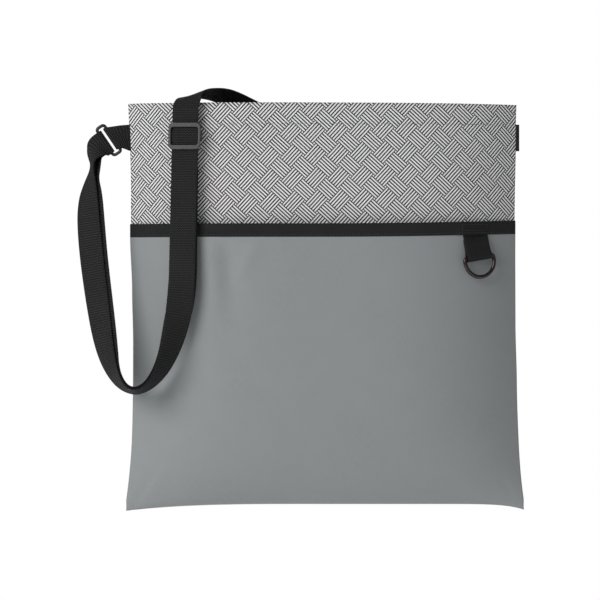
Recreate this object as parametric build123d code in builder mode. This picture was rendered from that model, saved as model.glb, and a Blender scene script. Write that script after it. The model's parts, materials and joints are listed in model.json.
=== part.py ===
"""A flat sling tote bag: two fabric panels, a full-width slip pocket and an adjustable shoulder strap.

Millimetres. The origin is the middle of the mouth, X runs to the wearer's view right, the front of the
bag faces -Y and +Z is up. The side seams lie in the plane Y = 0.
"""

import os
from math import cos, radians, sin

from build123d import *

os.makedirs("parts", exist_ok=True)

# ---- fabric body ----
HEIGHT = 376  # mouth to bottom seam
WAIST_HALF = 178.5  # half the width at the narrowest height
MOUTH_FLARE = 3.5  # extra half width at the mouth
CORNER_FLARE = 7.5  # extra half width at the bottom corners
MOUTH_REACH = 150  # height over which the mouth's flare dies out
CLOTH = 0.8  # panel thickness
SEAM_HALF_GAP = 0.8  # the side seams sandwich a tape or a webbing end
SEAM_LAND = 1.5  # width of a panel's flat edge at the side seam
SIDE_POWER = 3.5  # flat across the middle, rounding off towards the seams
FRONT_MID, FRONT_MOUTH = 36, 32  # depth of the front panel in front of the seam plane
BACK_MID, BACK_MOUTH = 27, 21
BACK_DROP = 4  # the back edge of the mouth sits a little lower
POCKET_GAP = 8  # the pocket stands this far off the front panel
POCKET_EXTRA_HALF = 2  # the pocket panel wraps round the front panel at the side seams
POCKET_TOP = -113
BODY_HEIGHTS = (-60, -126, -180, -240, -290, -325, -348, -362, -370, -374, -HEIGHT)

# ---- trims ----
BINDING_HEIGHT = 12
BINDING_CLOTH = 0.9
FIT = 0.1
HEM_HEIGHT = 22
HEM_EXTRA = 0.25  # space between a panel and its turned hem
TAPE_WIDTH, TAPE_THICK = 10, 1.2
TAPE_INSET = 9
STITCH_LENGTH, STITCH_PITCH, THREAD = 2.4, 3.4, 0.4

# ---- webbing ----
WEB_WIDTH, WEB_THICK = 24.8, 1.4
WIRE_CLEARANCE = 0.3  # webbing clears the wire it is folded round
ANCHOR_Z = -31.8  # both webbing ends are sewn into the side seams at this height
ANCHOR_DEPTH = 12  # how far the sewn ends reach inside the seam

# ---- rectangular ring on the left side tab ----
RING_WIRE = 1.5
RING_CENTRE = Vector(-201.0, -2.0, -34.0)
RING_LEAN = 34  # degrees that the ring's long bars lean from vertical
RING_LENGTH, RING_GAP, RING_CORNER = 29.6, 8.4, 2.4  # between wire centres
RING_ALONG = Vector(sin(radians(RING_LEAN)), 0, -cos(radians(RING_LEAN)))
RING_ACROSS = Vector(cos(radians(RING_LEAN)), 0, sin(radians(RING_LEAN)))
STRAP_BAR = RING_CENTRE - RING_ACROSS * RING_GAP / 2
TAB_BAR = RING_CENTRE + RING_ACROSS * RING_GAP / 2
RING_FOLD_WIDTH = 23.4  # webbing gathers a little inside the ring
RING_BORE = RING_WIRE + WIRE_CLEARANCE
RING_PLY = RING_BORE + WEB_THICK / 2  # middle of the webbing as it passes round a bar
RING_LEAD = 3.0  # the webbing leaves the ring straight for this far


def in_plan(turn):
    """A level direction at this heading, in degrees."""
    return Vector(cos(radians(turn)), sin(radians(turn)), 0)


# ---- strap: centre of the outer layer and the direction of its width, from the ring to the right seam ----
RUN_FOOT = Vector(-131.4, -47.0, -165.0)
RUN_TOP = Vector(-128.2, -34.0, -4.0)
RUN_TURN = -12
LOOP_STATIONS = (
    (STRAP_BAR + Vector(0, -RING_PLY, 0), -RING_ALONG),
    (STRAP_BAR + Vector(0, -RING_PLY, 0) - RING_ACROSS * RING_LEAD, -RING_ALONG),
    (Vector(-212.2, -6.0, -42.6), Vector(-0.42, 0.50, 0.75)),
    (Vector(-215.4, -6.6, -50.5), Vector(-0.15, 0.88, 0.45)),
    (Vector(-217.0, -8.0, -60.0), Vector(-0.08, 1.0, 0.08)),
    (Vector(-218.8, -10.5, -73.0), Vector(-0.42, 0.90, 0.0)),
    (Vector(-220.0, -14.5, -89.0), in_plan(137)),
    (Vector(-219.6, -18.0, -110.0), in_plan(150)),
    (Vector(-216.0, -22.5, -147.0), in_plan(154)),
    (Vector(-209.0, -27.5, -198.0), in_plan(147)),
    (Vector(-204.0, -30.5, -228.0), in_plan(135)),
    (Vector(-197.5, -33.5, -249.0), in_plan(120) - Vector(0, 0, 0.06)),
    (Vector(-188.5, -36.5, -263.5), in_plan(106) - Vector(0, 0, 0.14)),
    (Vector(-176.0, -40.0, -270.0), in_plan(90) - Vector(0, 0, 0.20)),
    (Vector(-162.5, -44.0, -265.5), in_plan(76) - Vector(0, 0, 0.14)),
    (Vector(-151.0, -48.0, -252.0), in_plan(60) - Vector(0, 0, 0.06)),
    (Vector(-142.6, -50.0, -233.0), in_plan(46)),
    (Vector(-137.0, -50.2, -212.0), in_plan(30)),
    (Vector(-132.8, -48.9, -188.0), in_plan(8)),
)
RUN_SHARES = (0, 0.06, 0.94, 1)
RUN_STATIONS = tuple((RUN_FOOT + (RUN_TOP - RUN_FOOT) * share, in_plan(RUN_TURN)) for share in RUN_SHARES)
TOP_STATIONS = (
    (Vector(-126.4, -31.2, 3.4), Vector(0.90, -0.36, 0.22)),
    (Vector(-119.5, -23.0, 8.6), Vector(0.78, -0.55, 0.28)),
    (Vector(-110.0, -10.5, 10.0), Vector(0.66, -0.68, 0.32)),
    (Vector(-98.0, 2.5, 9.4), Vector(0.56, -0.72, 0.40)),
    (Vector(-86.0, 14.6, 5.4), Vector(0.48, -0.70, 0.50)),
    (Vector(-72.0, 24.1, -4.6), Vector(0.38, -0.40, 0.84)),
)
BACK_STATIONS = (
    (Vector(-52.0, 27.4, -15.0), Vector(0.42, -0.08, 0.90)),
    (Vector(-25.0, 27.6, -26.0), Vector(0.38, 0.0, 0.93)),
    (Vector(10.0, 27.4, -35.5), Vector(0.22, 0.0, 0.98)),
    (Vector(50.0, 27.0, -41.0), Vector(0.06, 0.0, 1.0)),
    (Vector(90.0, 25.2, -41.0), Vector(-0.05, 0.0, 1.0)),
    (Vector(122.0, 20.6, -38.0), Vector(-0.10, 0.0, 1.0)),
    (Vector(150.0, 13.8, -34.5), Vector(-0.08, 0.0, 1.0)),
    (Vector(170.0, 7.8, -32.5), Vector(-0.03, 0.0, 1.0)),
    (Vector(183.0, 2.2, ANCHOR_Z), Vector(0.0, 0.0, 1.0)),
)
STRAP_STATIONS = LOOP_STATIONS + RUN_STATIONS + TOP_STATIONS + BACK_STATIONS
LAYER_GAP = 3.7  # centre to centre of the doubled strap's two layers, near the slider
LOOP_GAP = 2.5  # and round the bottom of the loop
LOOP_GAP_SPAN = range(8, 17)  # the stations it holds for
RETURN_LEAD = (  # the return layer's own way from the ring until it lies beside the outer layer
    (STRAP_BAR + Vector(0, RING_PLY, 0), -RING_ALONG),
    (STRAP_BAR + Vector(0, RING_PLY, 0) - RING_ACROSS * 1.6 * RING_LEAD, -RING_ALONG),
    (Vector(-211.5, 0.9, -45.2), Vector(-0.61, 0.45, 0.72)),
    (Vector(-212.3, -0.6, -52.0), Vector(-0.30, 0.79, 0.51)),
    (Vector(-212.2, -5.4, -61.4), Vector(-0.18, 0.96, 0.12)),
)
RETURN_SHIFT = 0.9  # the return layer lies a little to one side
ARM_SHIFT = -3.2  # further across on the outer arm, where the layers hang a little apart
ARM_SPAN = range(6, 11)  # the stations it holds for

# ---- slider ----
SLIDER_WIDTH, SLIDER_HEIGHT, SLIDER_CORNER = 30.4, 25.2, 4.5
SLIDER_WINDOW_WIDTH, SLIDER_WINDOW_HEIGHT, SLIDER_WINDOW_CORNER = 25.6, 16.6, 2.0
SLIDER_FRONT, SLIDER_PLATE = 1.0, 2.2  # the front rails stand just proud of the webbing
SLIDER_SHARE = 0.828  # its place on the front run, from the foot up
SLIDER_TILT = 1.2  # degrees that it sits askew on the webbing
BAR_HEIGHT, BAR_THICK, BAR_FRONT = 4.2, 2.0, -2.8
POST_HEIGHT = 9.0
END_FOLD_WIDTH = 23.6
END_FOLD_LENGTH = 24.0  # how far the sewn-back end reaches below the bar

# ---- D-ring and its tab ----
D_WIRE = 1.85
D_WIDTH, D_DROP, D_CORNER = 29.8, 18.8, 2.3  # between wire centres
D_TAB_LENGTH = 19.0  # binding to the ring's straight bar
D_TAB_TOP = Vector(141.2, -30.0, -124.8)
D_TAB_TURN = 24  # heading of the tab's width in plan
D_TAB_LEAN = 9  # sideways lean from vertical
D_TAB_PITCH = 4  # forward lean
D_TAB_WIDTH = 25.0
D_PLY = 0.78  # half the spacing of the tab's two plies


def half_width(z):
    """Half the width of the bag's outline at height z."""
    flare = MOUTH_FLARE * max(0, 1 + z / MOUTH_REACH) ** 2
    return WAIST_HALF + flare + CORNER_FLARE * (-z / HEIGHT) ** 10


def depth_at(z, mid, mouth):
    """Depth of a panel at height z: a little less at the mouth, rounding to nothing at the bottom."""
    opening = (mid - mouth) * max(0, 1 + z / MOUTH_REACH) ** 2
    return (mid - opening) * max(0, 1 - (-z / HEIGHT) ** 6) ** 0.6


def bulge(x, half, depth):
    """Depth of the fabric at x across the bag."""
    return SEAM_HALF_GAP + depth * (1 - abs(x / half) ** SIDE_POWER)


def curve_points(half, depth, side):
    """Points across a panel; side is -1 for the front of the bag and 1 for the back."""
    shares = (-1, -0.94, -0.82, -0.66, -0.45, -0.2, 0, 0.2, 0.45, 0.66, 0.82, 0.94, 1)
    return [(half * s, side * bulge(half * s, half, depth)) for s in shares]


def band_section(z, half, depth, thick, side, land=SEAM_LAND):
    """A thin curved section of fabric at height z, seam to seam."""
    with BuildSketch(Plane.XY.offset(z)) as section:
        with BuildLine():
            outer = Spline(*curve_points(half, depth, side))
            inner = Spline(*curve_points(half - land, depth - thick, side))
            Line(outer @ 0, inner @ 0)
            Line(outer @ 1, inner @ 1)
        make_face()
    return section.sketch.face()


def ribbon_sections(stations):
    """Rectangles across a webbing ribbon, gathered where it passes through the side ring."""
    sections = []
    last = len(stations) - 1
    for n, (place, across) in enumerate(stations):
        along = (stations[min(n + 1, last)][0] - stations[max(n - 1, 0)][0]).normalized()
        across = (across - along * across.dot(along)).normalized()
        with BuildSketch(Plane(place, x_dir=across, z_dir=along)) as section:
            Rectangle(RING_FOLD_WIDTH if n < 2 else WEB_WIDTH, WEB_THICK)
        sections.append(section.sketch.face())
    return sections


def outward_at(stations, n):
    """The direction that the ribbon's outer face looks in at station n."""
    last = len(stations) - 1
    along = (stations[min(n + 1, last)][0] - stations[max(n - 1, 0)][0]).normalized()
    return stations[n][1].cross(along).normalized()


def save(builder, name):
    builder.part.label = name
    export_step(builder.part, f"parts/{name}.step")


# ---- panels ----
def panel_stations(top, mid, mouth):
    heights = [top] + [z for z in BODY_HEIGHTS if z < top]
    return [(z, half_width(z), depth_at(z, mid, mouth) + CLOTH) for z in heights]


with BuildPart() as front_panel:
    stations = panel_stations(0, FRONT_MID, FRONT_MOUTH)
    loft([band_section(z, half, depth, CLOTH, -1) for z, half, depth in stations], ruled=True)
save(front_panel, "front_panel")

with BuildPart() as back_panel:
    stations = panel_stations(-BACK_DROP, BACK_MID, BACK_MOUTH)
    loft([band_section(z, half, depth, CLOTH, 1) for z, half, depth in stations], ruled=True)
save(back_panel, "back_panel")


def pocket_depth(z):
    """The pocket stands off the front panel, and closes down to it at the bottom seam."""
    front = depth_at(z, FRONT_MID, FRONT_MOUTH) + CLOTH
    return front + POCKET_GAP * (1 - (-z / HEIGHT) ** 12) + CLOTH + FIT


def pocket_half(z):
    return half_width(z) + POCKET_EXTRA_HALF


with BuildPart() as pocket_panel:
    heights = [POCKET_TOP] + [z for z in BODY_HEIGHTS if z < POCKET_TOP]
    loft([band_section(z, pocket_half(z), pocket_depth(z), CLOTH, -1) for z in heights], ruled=True)
save(pocket_panel, "pocket_panel")

# ---- binding folded over the pocket's top edge ----
BINDING_TOP = POCKET_TOP + BINDING_CLOTH + FIT
BINDING_FOOT = BINDING_TOP - BINDING_HEIGHT
with BuildPart() as pocket_binding:
    thick = CLOTH + 2 * (BINDING_CLOTH + FIT)
    loft(
        [
            band_section(z, pocket_half(z) + 1.4, pocket_depth(z) + BINDING_CLOTH + FIT, thick, -1, 3.6)
            for z in (BINDING_TOP, BINDING_FOOT)
        ]
    )
    slot_top = POCKET_TOP + FIT
    loft(
        [
            band_section(z, pocket_half(z) + 0.3, pocket_depth(z) + FIT, CLOTH + 2 * FIT, -1, SEAM_LAND + 0.3)
            for z in (slot_top, BINDING_FOOT - 1)
        ],
        mode=Mode.SUBTRACT,
    )
    loft(
        [
            band_section(z, half_width(z) + 0.2, depth_at(z, FRONT_MID, FRONT_MOUTH) + CLOTH + 0.2, 12, -1)
            for z in (BINDING_TOP + 1, BINDING_FOOT - 1)
        ],
        mode=Mode.SUBTRACT,
    )
save(pocket_binding, "pocket_binding")


# ---- turned hems inside the mouth ----
def hem_sections(top, mid, mouth, side):
    """The fabric's turned edge just inside a panel."""
    inset = CLOTH + HEM_EXTRA
    return [
        band_section(z, half_width(z) - 4, depth_at(z, mid, mouth) + CLOTH - inset, CLOTH, side)
        for z in (top, top - HEM_HEIGHT)
    ]


with BuildPart() as front_hem:
    loft(hem_sections(-0.5, FRONT_MID, FRONT_MOUTH, -1))
save(front_hem, "front_hem")

with BuildPart() as back_hem:
    loft(hem_sections(-BACK_DROP - 0.5, BACK_MID, BACK_MOUTH, 1))
save(back_hem, "back_hem")


# ---- seam tapes ----
def side_tape_sections(side, top, foot):
    """A narrow tape between the panels along one side seam."""
    sections = []
    for n in range(5):
        z = top + (foot - top) * n / 4
        with BuildSketch(Plane.XY.offset(z)) as section:
            with Locations((side * (half_width(z) - TAPE_INSET), 0)):
                Rectangle(TAPE_WIDTH, TAPE_THICK)
        sections.append(section.sketch.face())
    return sections


TAPE_TOP = ANCHOR_Z - WEB_WIDTH / 2 - 1
for name, side in (("left_seam_tape", -1), ("right_seam_tape", 1)):
    with BuildPart() as seam_tape:
        loft(side_tape_sections(side, TAPE_TOP, -HEIGHT + 18))
    save(seam_tape, name)

with BuildPart() as bottom_seam_tape:
    with BuildSketch(Plane.XY.offset(-HEIGHT)):
        Rectangle(2 * (WAIST_HALF + CORNER_FLARE - 6), TAPE_THICK)
    extrude(amount=TAPE_WIDTH)
save(bottom_seam_tape, "bottom_seam_tape")

# ---- rectangular ring on the left side tab ----
with BuildPart() as side_ring:
    with BuildSketch(Plane(RING_CENTRE, x_dir=RING_ALONG, z_dir=(0, -1, 0)), mode=Mode.PRIVATE) as ring_face:
        RectangleRounded(RING_LENGTH, RING_GAP, RING_CORNER)
    ring_path = ring_face.sketch.face().outer_wire()
    with BuildSketch(Plane(ring_path @ 0, z_dir=ring_path % 0)):
        Circle(RING_WIRE)
    sweep(path=ring_path)
save(side_ring, "side_ring")

with BuildPart() as left_side_tab:
    with BuildSketch(Plane(TAB_BAR, x_dir=-RING_ACROSS, z_dir=RING_ALONG)):
        Circle(RING_BORE + WEB_THICK)
        Circle(RING_BORE, mode=Mode.SUBTRACT)
        Rectangle(20, 20, align=(Align.MAX, Align.CENTER), mode=Mode.SUBTRACT)
    extrude(amount=RING_FOLD_WIDTH / 2, both=True)
    seam_x = -half_width(ANCHOR_Z)
    for ply in (-1, 1):
        ply_start = TAB_BAR + Vector(0, ply * (RING_PLY + 0.3), 0)
        with BuildSketch(Plane(ply_start, x_dir=RING_ALONG, z_dir=RING_ACROSS)):
            Rectangle(RING_FOLD_WIDTH, WEB_THICK)
        with BuildSketch(Plane((seam_x - 1, ply * WEB_THICK / 4, ANCHOR_Z), x_dir=(0, 0, -1), z_dir=(1, 0, 0))):
            Rectangle(WEB_WIDTH, WEB_THICK / 2)
        loft(ruled=True)
    with BuildSketch(Plane((seam_x - 1, 0, ANCHOR_Z), x_dir=(0, 0, -1), z_dir=(1, 0, 0))):
        Rectangle(WEB_WIDTH, WEB_THICK)
    extrude(amount=ANCHOR_DEPTH + 1)
save(left_side_tab, "left_side_tab")

# ---- strap ----
STRAP_SECTIONS = ribbon_sections(STRAP_STATIONS)
RUN_START = len(LOOP_STATIONS)
RUN_END = RUN_START + len(RUN_STATIONS) - 1
TOP_END = RUN_END + len(TOP_STATIONS)

with BuildPart() as strap_outer_layer:
    loft(STRAP_SECTIONS[: RUN_END + 1], ruled=True)
save(strap_outer_layer, "strap_outer_layer")

with BuildPart() as strap_top_bend:
    loft(STRAP_SECTIONS[RUN_END : TOP_END + 1], ruled=True)
save(strap_top_bend, "strap_top_bend")

with BuildPart() as strap_back_run:
    loft(STRAP_SECTIONS[TOP_END:], ruled=True)
save(strap_back_run, "strap_back_run")

with BuildPart() as strap_ring_fold:
    with BuildSketch(Plane(STRAP_BAR, x_dir=RING_ACROSS, z_dir=RING_ALONG)):
        Circle(RING_BORE + WEB_THICK)
        Circle(RING_BORE, mode=Mode.SUBTRACT)
        Rectangle(20, 20, align=(Align.MAX, Align.CENTER), mode=Mode.SUBTRACT)
    extrude(amount=RING_FOLD_WIDTH / 2, both=True)
save(strap_ring_fold, "strap_ring_fold")


def return_station(n):
    """The return layer lies just inside the outer one."""
    place, across = STRAP_STATIONS[n]
    gap = LOOP_GAP if n in LOOP_GAP_SPAN else LAYER_GAP
    shift = ARM_SHIFT if n in ARM_SPAN else RETURN_SHIFT
    return place - outward_at(STRAP_STATIONS, n) * gap + across.normalized() * shift, across


RETURN_STATIONS = list(RETURN_LEAD) + [return_station(n) for n in range(len(RETURN_LEAD), RUN_START + 2)]
with BuildPart() as strap_return_layer:
    loft(ribbon_sections(RETURN_STATIONS), ruled=True)
save(strap_return_layer, "strap_return_layer")

# ---- slider on the front run ----
RUN_ALONG = (RUN_TOP - RUN_FOOT).normalized()
SLIDER_CENTRE = RUN_FOOT + (RUN_TOP - RUN_FOOT) * SLIDER_SHARE
RUN_ACROSS = (in_plan(RUN_TURN) - RUN_ALONG * in_plan(RUN_TURN).dot(RUN_ALONG)).normalized()
RUN_OUT = RUN_ACROSS.cross(RUN_ALONG)
RUN_PLANE = Plane(SLIDER_CENTRE, x_dir=RUN_ACROSS, z_dir=RUN_OUT)
SLIDER_PLANE = RUN_PLANE.rotated((0, 0, SLIDER_TILT))

with BuildPart() as strap_slider:
    with BuildSketch(SLIDER_PLANE.offset(SLIDER_FRONT)):
        RectangleRounded(SLIDER_WIDTH, SLIDER_HEIGHT, SLIDER_CORNER)
        RectangleRounded(SLIDER_WINDOW_WIDTH, SLIDER_WINDOW_HEIGHT, SLIDER_WINDOW_CORNER, mode=Mode.SUBTRACT)
    extrude(amount=SLIDER_PLATE)
    fillet(strap_slider.faces().sort_by(SortBy.AREA)[-2:].edges(), 0.5)
    with BuildSketch(SLIDER_PLANE.offset(SLIDER_FRONT + 0.8)):
        Rectangle(SLIDER_WIDTH, POST_HEIGHT)
        Rectangle(SLIDER_WINDOW_WIDTH, POST_HEIGHT, mode=Mode.SUBTRACT)
    extrude(amount=BAR_FRONT - BAR_THICK - SLIDER_FRONT - 0.8)
    with BuildSketch(SLIDER_PLANE.offset(BAR_FRONT)):
        Rectangle(SLIDER_WIDTH, BAR_HEIGHT)
    extrude(amount=-BAR_THICK)
save(strap_slider, "strap_slider")

with BuildPart() as strap_end_fold:
    bar_middle = BAR_FRONT - BAR_THICK / 2
    ply_out = BAR_THICK / 2 + WIRE_CLEARANCE + WEB_THICK / 2
    with BuildSketch(Plane(SLIDER_CENTRE, x_dir=RUN_OUT, z_dir=-RUN_ACROSS)):
        with BuildLine():
            back = Polyline(
                (-LAYER_GAP, -END_FOLD_LENGTH - 4),
                (-LAYER_GAP, -9),
                (bar_middle - ply_out, -BAR_HEIGHT / 2 - 1),
                (bar_middle - ply_out, BAR_HEIGHT / 2),
            )
            turn = ThreePointArc(
                back @ 1,
                (bar_middle, BAR_HEIGHT / 2 + ply_out),
                (bar_middle + ply_out, BAR_HEIGHT / 2),
            )
            Polyline(
                turn @ 1,
                (bar_middle + ply_out, -BAR_HEIGHT / 2 - 1),
                (-LAYER_GAP + WEB_THICK + 0.15, -9),
                (-LAYER_GAP + WEB_THICK + 0.15, -END_FOLD_LENGTH),
            )
        trace(line_width=WEB_THICK)
    extrude(amount=END_FOLD_WIDTH / 2, both=True)
save(strap_end_fold, "strap_end_fold")

UPPER_TOP = SLIDER_CENTRE - RUN_ALONG * (END_FOLD_LENGTH + 4.2) - RUN_OUT * LAYER_GAP
UPPER_FOOT = RETURN_STATIONS[-1][0] + RUN_ALONG * 0.2
with BuildPart() as strap_return_upper:
    with BuildSketch(Plane(UPPER_FOOT, x_dir=RUN_ACROSS, z_dir=RUN_ALONG)):
        Rectangle(WEB_WIDTH, WEB_THICK)
    extrude(amount=(UPPER_TOP - UPPER_FOOT).dot(RUN_ALONG))
save(strap_return_upper, "strap_return_upper")

with BuildPart() as strap_anchor_tail:
    with BuildSketch(Plane((half_width(ANCHOR_Z) + 1.0, 0, ANCHOR_Z), x_dir=(0, 0, 1), z_dir=(1, 0, 0))):
        Rectangle(WEB_WIDTH, WEB_THICK)
    extrude(amount=-ANCHOR_DEPTH)
save(strap_anchor_tail, "strap_anchor_tail")

# ---- D-ring on its tab, hanging from the binding ----
lean, pitch = radians(D_TAB_LEAN), radians(D_TAB_PITCH)
tab_down = Vector(0, 0, -cos(lean)) + in_plan(D_TAB_TURN) * sin(lean)
tab_face = -in_plan(D_TAB_TURN + 90) * cos(pitch) - tab_down * sin(pitch)
TAB_PLANE = Plane(D_TAB_TOP, x_dir=in_plan(D_TAB_TURN) * cos(lean) + Vector(0, 0, sin(lean)), z_dir=tab_face)
D_BAR = TAB_PLANE.from_local_coords(Vector(0, -D_TAB_LENGTH, 0))
D_BORE = D_WIRE + WIRE_CLEARANCE

with BuildPart() as d_ring_tab:
    with BuildSketch(Plane(TAB_PLANE.origin, x_dir=TAB_PLANE.z_dir, z_dir=-TAB_PLANE.x_dir)):
        with BuildLine():
            reach = D_BORE + WEB_THICK / 2
            front = Polyline((D_PLY, 0), (D_PLY, 6 - D_TAB_LENGTH), (reach, -D_TAB_LENGTH))
            turn = ThreePointArc(front @ 1, (0, -D_TAB_LENGTH - reach), (-reach, -D_TAB_LENGTH))
            Polyline(turn @ 1, (-D_PLY, 6 - D_TAB_LENGTH), (-D_PLY, 0))
        trace(line_width=WEB_THICK)
    extrude(amount=D_TAB_WIDTH / 2, both=True)
save(d_ring_tab, "d_ring_tab")

D_RING_PLANE = Plane(D_BAR, x_dir=TAB_PLANE.x_dir, z_dir=TAB_PLANE.z_dir)
with BuildPart() as d_ring:
    with BuildLine(D_RING_PLANE) as d_path:
        half = D_WIDTH / 2
        FilletPolyline(
            (-half, 0),
            (half, 0),
            (half, -D_DROP),
            (-half, -D_DROP),
            radius=(D_CORNER, D_CORNER, half - 0.1, half - 0.1),
            close=True,
        )
    with BuildSketch(Plane(d_path.line @ 0, z_dir=d_path.line % 0)):
        Circle(D_WIRE)
    sweep(path=d_path.wire())
save(d_ring, "d_ring")


# ---- stitching ----
def stitch_planes(z, half, depth, side, places, upright=False):
    """One plane for each stitch, lying on the outside of a panel at height z."""
    planes = []
    for x in places:
        rise = bulge(x + 1, half, depth) - bulge(x - 1, half, depth)
        along = Vector(2, side * rise, 0).normalized()
        out = Vector(-along.Y, along.X, 0) * side
        middle = Vector(x, side * bulge(x, half, depth), z) + out * (THREAD / 2 + 0.03)
        planes.append(Plane(middle, x_dir=(0, 0, 1) if upright else along, z_dir=out))
    return planes


def stitch_row(reach, centre=0.0):
    """Evenly pitched stitch positions either side of a centre."""
    count = int(reach / STITCH_PITCH)
    return [centre + STITCH_PITCH * n for n in range(-count, count + 1)]


BINDING_HALF = pocket_half(BINDING_FOOT) + 1.4
BINDING_DEPTH = pocket_depth(BINDING_FOOT) + BINDING_CLOTH + FIT
with BuildPart() as binding_stitching:
    row = stitch_row(BINDING_HALF - 8)
    with Locations(*stitch_planes(BINDING_FOOT + 1.8, BINDING_HALF, BINDING_DEPTH, -1, row)):
        Box(STITCH_LENGTH, THREAD, THREAD)
save(binding_stitching, "binding_stitching")

for name, side, z, mid, mouth in (
    ("front_hem_stitching", -1, 2 - HEM_HEIGHT, FRONT_MID, FRONT_MOUTH),
    ("back_hem_stitching", 1, 2 - HEM_HEIGHT - BACK_DROP, BACK_MID, BACK_MOUTH),
):
    with BuildPart() as hem_stitching:
        row = stitch_row(half_width(z) - 8)
        with Locations(*stitch_planes(z, half_width(z), depth_at(z, mid, mouth) + CLOTH, side, row)):
            Box(STITCH_LENGTH, THREAD, THREAD)
    save(hem_stitching, name)

with BuildPart() as d_tab_tack:
    centre = D_TAB_TOP.X - 1
    for rise in (4.4, 10.0):
        row = stitch_row(9, centre)
        with Locations(*stitch_planes(BINDING_FOOT + rise, BINDING_HALF, BINDING_DEPTH, -1, row)):
            Box(STITCH_LENGTH, THREAD, THREAD)
    ends = (centre - 3.5 * STITCH_PITCH, centre + 3.5 * STITCH_PITCH)
    for rise in (5.6, 8.8):
        with Locations(*stitch_planes(BINDING_FOOT + rise, BINDING_HALF, BINDING_DEPTH, -1, ends, True)):
            Box(STITCH_LENGTH, THREAD, THREAD)
save(d_tab_tack, "d_tab_tack")

with BuildPart() as end_fold_stitching:
    with BuildSketch(RUN_PLANE.offset(-LAYER_GAP - WEB_THICK / 2 - 0.03)):
        with Locations((0, -16)):
            with GridLocations(STITCH_PITCH, 10, 6, 2):
                Rectangle(STITCH_LENGTH, THREAD)
            with GridLocations(5.5 * STITCH_PITCH + STITCH_LENGTH, STITCH_PITCH, 2, 2):
                Rectangle(THREAD, STITCH_LENGTH)
    extrude(amount=-THREAD)
save(end_fold_stitching, "end_fold_stitching")
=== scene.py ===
"""Sling tote bag: cloth panels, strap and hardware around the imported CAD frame.

Metres, in the frame's axes: the origin is the middle of the mouth, +Z is up and the front faces -Y.
"""

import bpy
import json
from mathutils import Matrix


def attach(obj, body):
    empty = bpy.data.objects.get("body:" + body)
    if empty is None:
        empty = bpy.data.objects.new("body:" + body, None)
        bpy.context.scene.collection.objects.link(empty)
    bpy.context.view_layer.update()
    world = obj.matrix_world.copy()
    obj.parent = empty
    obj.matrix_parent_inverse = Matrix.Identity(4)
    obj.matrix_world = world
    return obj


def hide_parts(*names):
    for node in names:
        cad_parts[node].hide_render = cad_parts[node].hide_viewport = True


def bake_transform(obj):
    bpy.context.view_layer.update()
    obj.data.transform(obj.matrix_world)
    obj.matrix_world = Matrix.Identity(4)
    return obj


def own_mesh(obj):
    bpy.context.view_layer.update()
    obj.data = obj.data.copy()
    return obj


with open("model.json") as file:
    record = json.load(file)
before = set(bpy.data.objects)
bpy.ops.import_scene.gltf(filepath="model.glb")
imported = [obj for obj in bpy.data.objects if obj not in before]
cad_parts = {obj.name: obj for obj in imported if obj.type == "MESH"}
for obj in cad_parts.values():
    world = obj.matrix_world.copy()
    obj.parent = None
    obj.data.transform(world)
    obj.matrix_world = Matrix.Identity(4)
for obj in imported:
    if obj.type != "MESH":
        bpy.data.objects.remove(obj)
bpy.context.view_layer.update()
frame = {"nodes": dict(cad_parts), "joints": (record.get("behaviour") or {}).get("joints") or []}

import json
import math
import random

import bmesh
import bpy
import numpy as np
from mathutils import Vector

MM = 0.001
NODES = frame["nodes"]

# ---- bag shape, repeated from the CAD source ----
HEIGHT = 376 * MM
WAIST_HALF, MOUTH_FLARE, CORNER_FLARE, MOUTH_REACH = 178.5 * MM, 3.5 * MM, 7.5 * MM, 150 * MM
CLOTH = 0.8 * MM
SEAM_HALF_GAP = 0.8 * MM
SIDE_POWER = 3.5
FRONT_MID, FRONT_MOUTH = 36 * MM, 32 * MM
BACK_MID, BACK_MOUTH, BACK_DROP = 27 * MM, 21 * MM, 4 * MM
POCKET_GAP, POCKET_TOP = 8 * MM, -113 * MM
BINDING_TOP, BINDING_FOOT, BINDING_CLOTH = -112.6 * MM, -125.0 * MM, 0.9 * MM
HEM_HEIGHT = 22 * MM

# ---- hardware, repeated from the CAD source ----
WEB_WIDTH, WEB_THICK = 24.8 * MM, 1.4 * MM
RING_CENTRE = Vector((-201.0, -2.0, -34.0)) * MM
RING_LEAN = math.radians(34)
RING_ALONG = Vector((math.sin(RING_LEAN), 0, -math.cos(RING_LEAN)))
RING_ACROSS = Vector((math.cos(RING_LEAN), 0, math.sin(RING_LEAN)))
STRAP_BAR = RING_CENTRE - RING_ACROSS * 4.2 * MM
TAB_BAR = RING_CENTRE + RING_ACROSS * 4.2 * MM
RING_FOLD_WIDTH, RING_PLY = 23.4 * MM, 2.5 * MM
ANCHOR_Z = -31.8 * MM
D_TAB_TOP = Vector((141.2, -30.0, -124.8)) * MM


def toward(turn):
    """A level direction at this heading, in degrees."""
    return Vector((math.cos(math.radians(turn)), math.sin(math.radians(turn)), 0))


def station(place, across):
    return Vector(place) * MM, Vector(across).normalized()


# ---- camera: level, square on, and far enough away for almost no perspective ----
CAMERA_AIM = Vector((-21.9, 0, -183.7)) * MM
CAMERA_DISTANCE = 4.0
FRAME_WIDTH = 558 * MM
camera_data = bpy.data.cameras.new("camera")
camera_data.sensor_width = 36
camera_data.lens = 36 * (CAMERA_DISTANCE - 0.03) / FRAME_WIDTH
camera_data.clip_start, camera_data.clip_end = 0.1, 100
camera = bpy.data.objects.new("camera", camera_data)
camera.location = CAMERA_AIM - Vector((0, CAMERA_DISTANCE, 0))
camera.rotation_euler = (math.pi / 2, 0, 0)
bpy.context.scene.collection.objects.link(camera)
bpy.context.scene.camera = camera


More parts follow.
